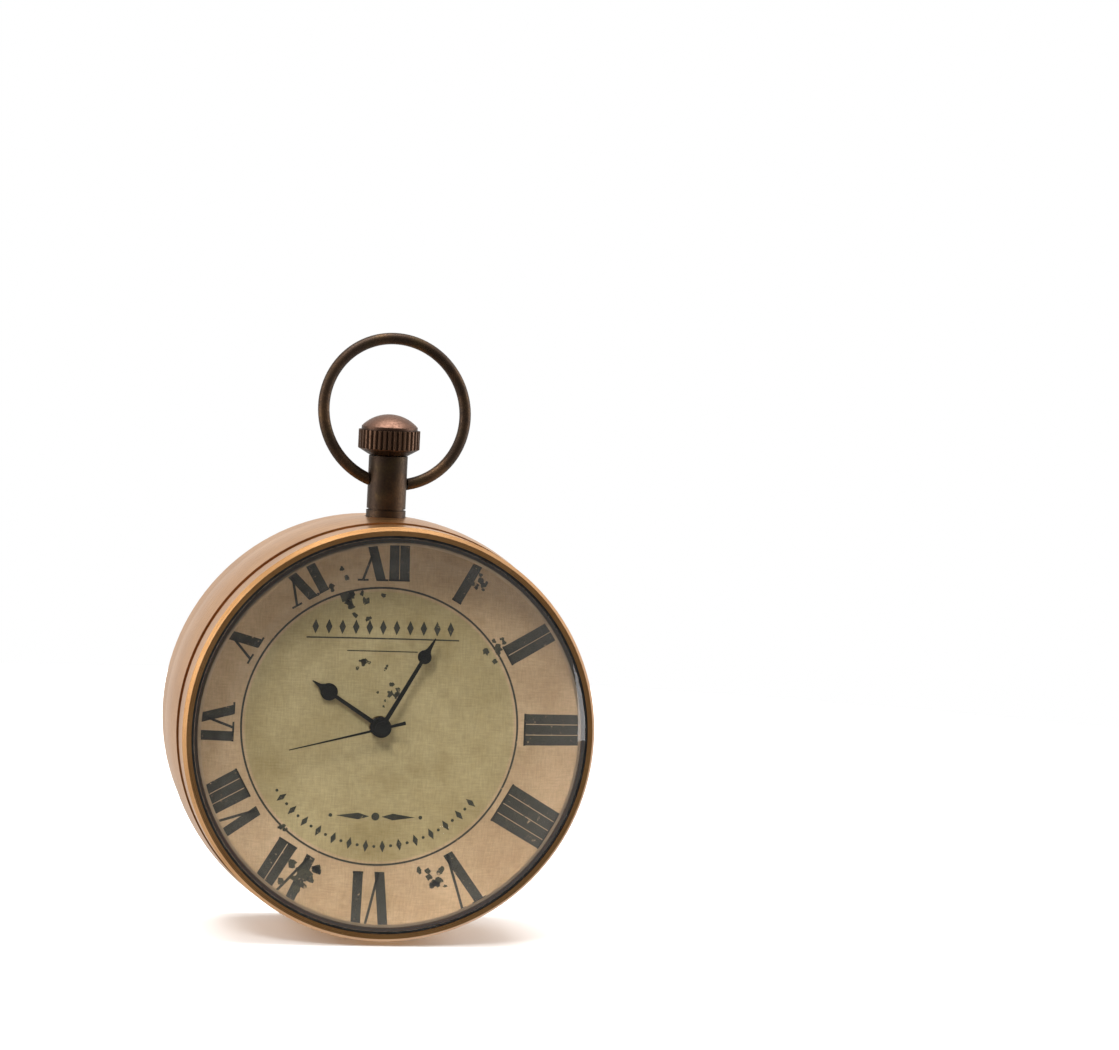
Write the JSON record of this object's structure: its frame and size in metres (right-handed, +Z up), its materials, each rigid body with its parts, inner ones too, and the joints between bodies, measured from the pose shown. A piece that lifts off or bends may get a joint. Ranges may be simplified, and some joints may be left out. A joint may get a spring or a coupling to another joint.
{
  "type": "ball_watch_with_compass_card",
  "caption": "Round antique-bronze ball watch with a magnifying glass on both sides: Roman quartz dial in front, compass card behind, crown and hanging ring on top.",
  "frame": {"origin": "lowest line of the round case, midway between its two faces, directly under the neck; the case's axis is 30.6 mm above it", "axes": "X to the right seen from the front, Y from the clock dial towards the compass card, Z up through the neck"},
  "size_m": [0.0612, 0.045, 0.0879],
  "materials": {
    "bronze_case": "satin, finely turned",
    "dark_bronze": "dark antique patina",
    "crown_bronze": "dark antique patina, worn lighter on the dome",
    "glass": "clear, polished",
    "black_rubber": "matt",
    "tan_ring": "matt",
    "pale_ring": "matt",
    "dial_paper": "aged, matt",
    "card_paper": "aged, matt",
    "brass_plate": "brushed",
    "white_plastic": "moulded",
    "steel": "fine ground",
    "cell_steel": "plain",
    "copper_wire": "enamelled wire",
    "green_board": "satin",
    "black_plastic": "matt",
    "wheel_brass": "polished",
    "black_hands": "satin black"
  },
  "bodies": {
    "case": {"mid_case": "bronze_case", "front_bezel": "bronze_case", "rear_bezel": "bronze_case", "neck": "dark_bronze", "neck_collar": "dark_bronze", "front_glass": "glass", "rear_glass": "glass", "front_gasket": "black_rubber", "rear_gasket": "black_rubber", "front_ring": "tan_ring", "rear_ring": "pale_ring", "dial_face": "dial_paper", "compass_card": "card_paper", "dial_plate": "brass_plate", "card_plate": "brass_plate", "main_plate": "brass_plate", "train_bridge": "brass_plate", "motion_cover": "brass_plate", "movement_holder": "white_plastic", "movement_screws": "steel", "battery_clamp": "steel", "stator": "steel", "coil_core": "steel", "quartz_crystal": "steel", "battery": "cell_steel", "coil": "copper_wire", "circuit_board": "green_board", "clock_chip": "black_plastic"},
    "bow": {"bow": "dark_bronze"},
    "stem_clip": {"stem_clip": "steel"},
    "crown": {"crown": "crown_bronze", "crown_seal": "black_rubber", "stem": "steel", "clutch_wheel": "steel"},
    "setting_lever": {"setting_lever": "steel"},
    "setting_wheel": {"setting_wheel": "steel"},
    "rotor": {"rotor": "steel"},
    "fifth_wheel": {"fifth_wheel": "wheel_brass"},
    "seconds": {"seconds_wheel": "wheel_brass", "seconds_hand": "black_hands"},
    "third_wheel": {"third_wheel": "wheel_brass"},
    "minutes": {"centre_wheel": "wheel_brass", "cannon_pinion": "wheel_brass", "minute_hand": "black_hands"},
    "minute_wheel": {"minute_wheel": "wheel_brass"},
    "hours": {"hour_wheel": "wheel_brass", "hour_hand": "black_hands"}
  },
  "joints": [
    {"name": "bow_swing", "type": "hinge", "parent": "case", "child": "bow", "pos_m": [0, 0, 0.06625], "axis": [0.9925, 0.1219, 0], "range_deg": [-80, 100]},
    {"name": "crown_pull", "type": "slide", "parent": "case", "child": "stem_clip", "axis": [0, 0, 1], "range_m": [0, 0.001]},
    {"name": "crown_turn", "type": "hinge", "parent": "stem_clip", "child": "crown", "pos_m": [0, 0, 0.0737], "axis": [0, 0, 1], "continuous": true},
    {"name": "lever_rock", "type": "hinge", "parent": "case", "child": "setting_lever", "pos_m": [0.0026, 0, 0.0403], "axis": [0, 1, 0], "range_deg": [0, 22.04]},
    {"name": "minute_turn", "type": "hinge", "parent": "case", "child": "minutes", "pos_m": [0, 0, 0.0306], "axis": [0, 1, 0], "continuous": true},
    {"name": "seconds_turn", "type": "hinge", "parent": "case", "child": "seconds", "pos_m": [0, 0, 0.0306], "axis": [0, 1, 0], "continuous": true},
    {"name": "hour_turn", "type": "hinge", "parent": "case", "child": "hours", "pos_m": [0, 0, 0.0306], "axis": [0, 1, 0], "continuous": true},
    {"name": "minute_wheel_turn", "type": "hinge", "parent": "case", "child": "minute_wheel", "pos_m": [-0.00184, 0, 0.03322], "axis": [0, 1, 0], "continuous": true},
    {"name": "third_turn", "type": "hinge", "parent": "case", "child": "third_wheel", "pos_m": [0.00204, 0, 0.02707], "axis": [0, 1, 0], "continuous": true},
    {"name": "fifth_turn", "type": "hinge", "parent": "case", "child": "fifth_wheel", "pos_m": [-0.00395, 0, 0.02916], "axis": [0, 1, 0], "continuous": true},
    {"name": "rotor_turn", "type": "hinge", "parent": "case", "child": "rotor", "pos_m": [-0.00684, 0, 0.02811], "axis": [0, 1, 0], "continuous": true},
    {"name": "setting_turn", "type": "hinge", "parent": "case", "child": "setting_wheel", "pos_m": [-0.00247, 0, 0.03685], "axis": [0, 1, 0], "continuous": true}
  ],
  "couplings": [
    {"joint": "lever_rock", "follows": "crown_pull", "rad_per_m": 384.62},
    {"joint": "minute_turn", "follows": "seconds_turn", "ratio": 0.016667},
    {"joint": "third_turn", "follows": "seconds_turn", "ratio": -0.13333},
    {"joint": "fifth_turn", "follows": "seconds_turn", "ratio": -5},
    {"joint": "rotor_turn", "follows": "seconds_turn", "ratio": 30},
    {"joint": "minute_wheel_turn", "follows": "seconds_turn", "ratio": -0.0055556},
    {"joint": "hour_turn", "follows": "seconds_turn", "ratio": 0.0013889},
    {"joint": "setting_turn", "follows": "seconds_turn", "ratio": 0.010417}
  ]
}
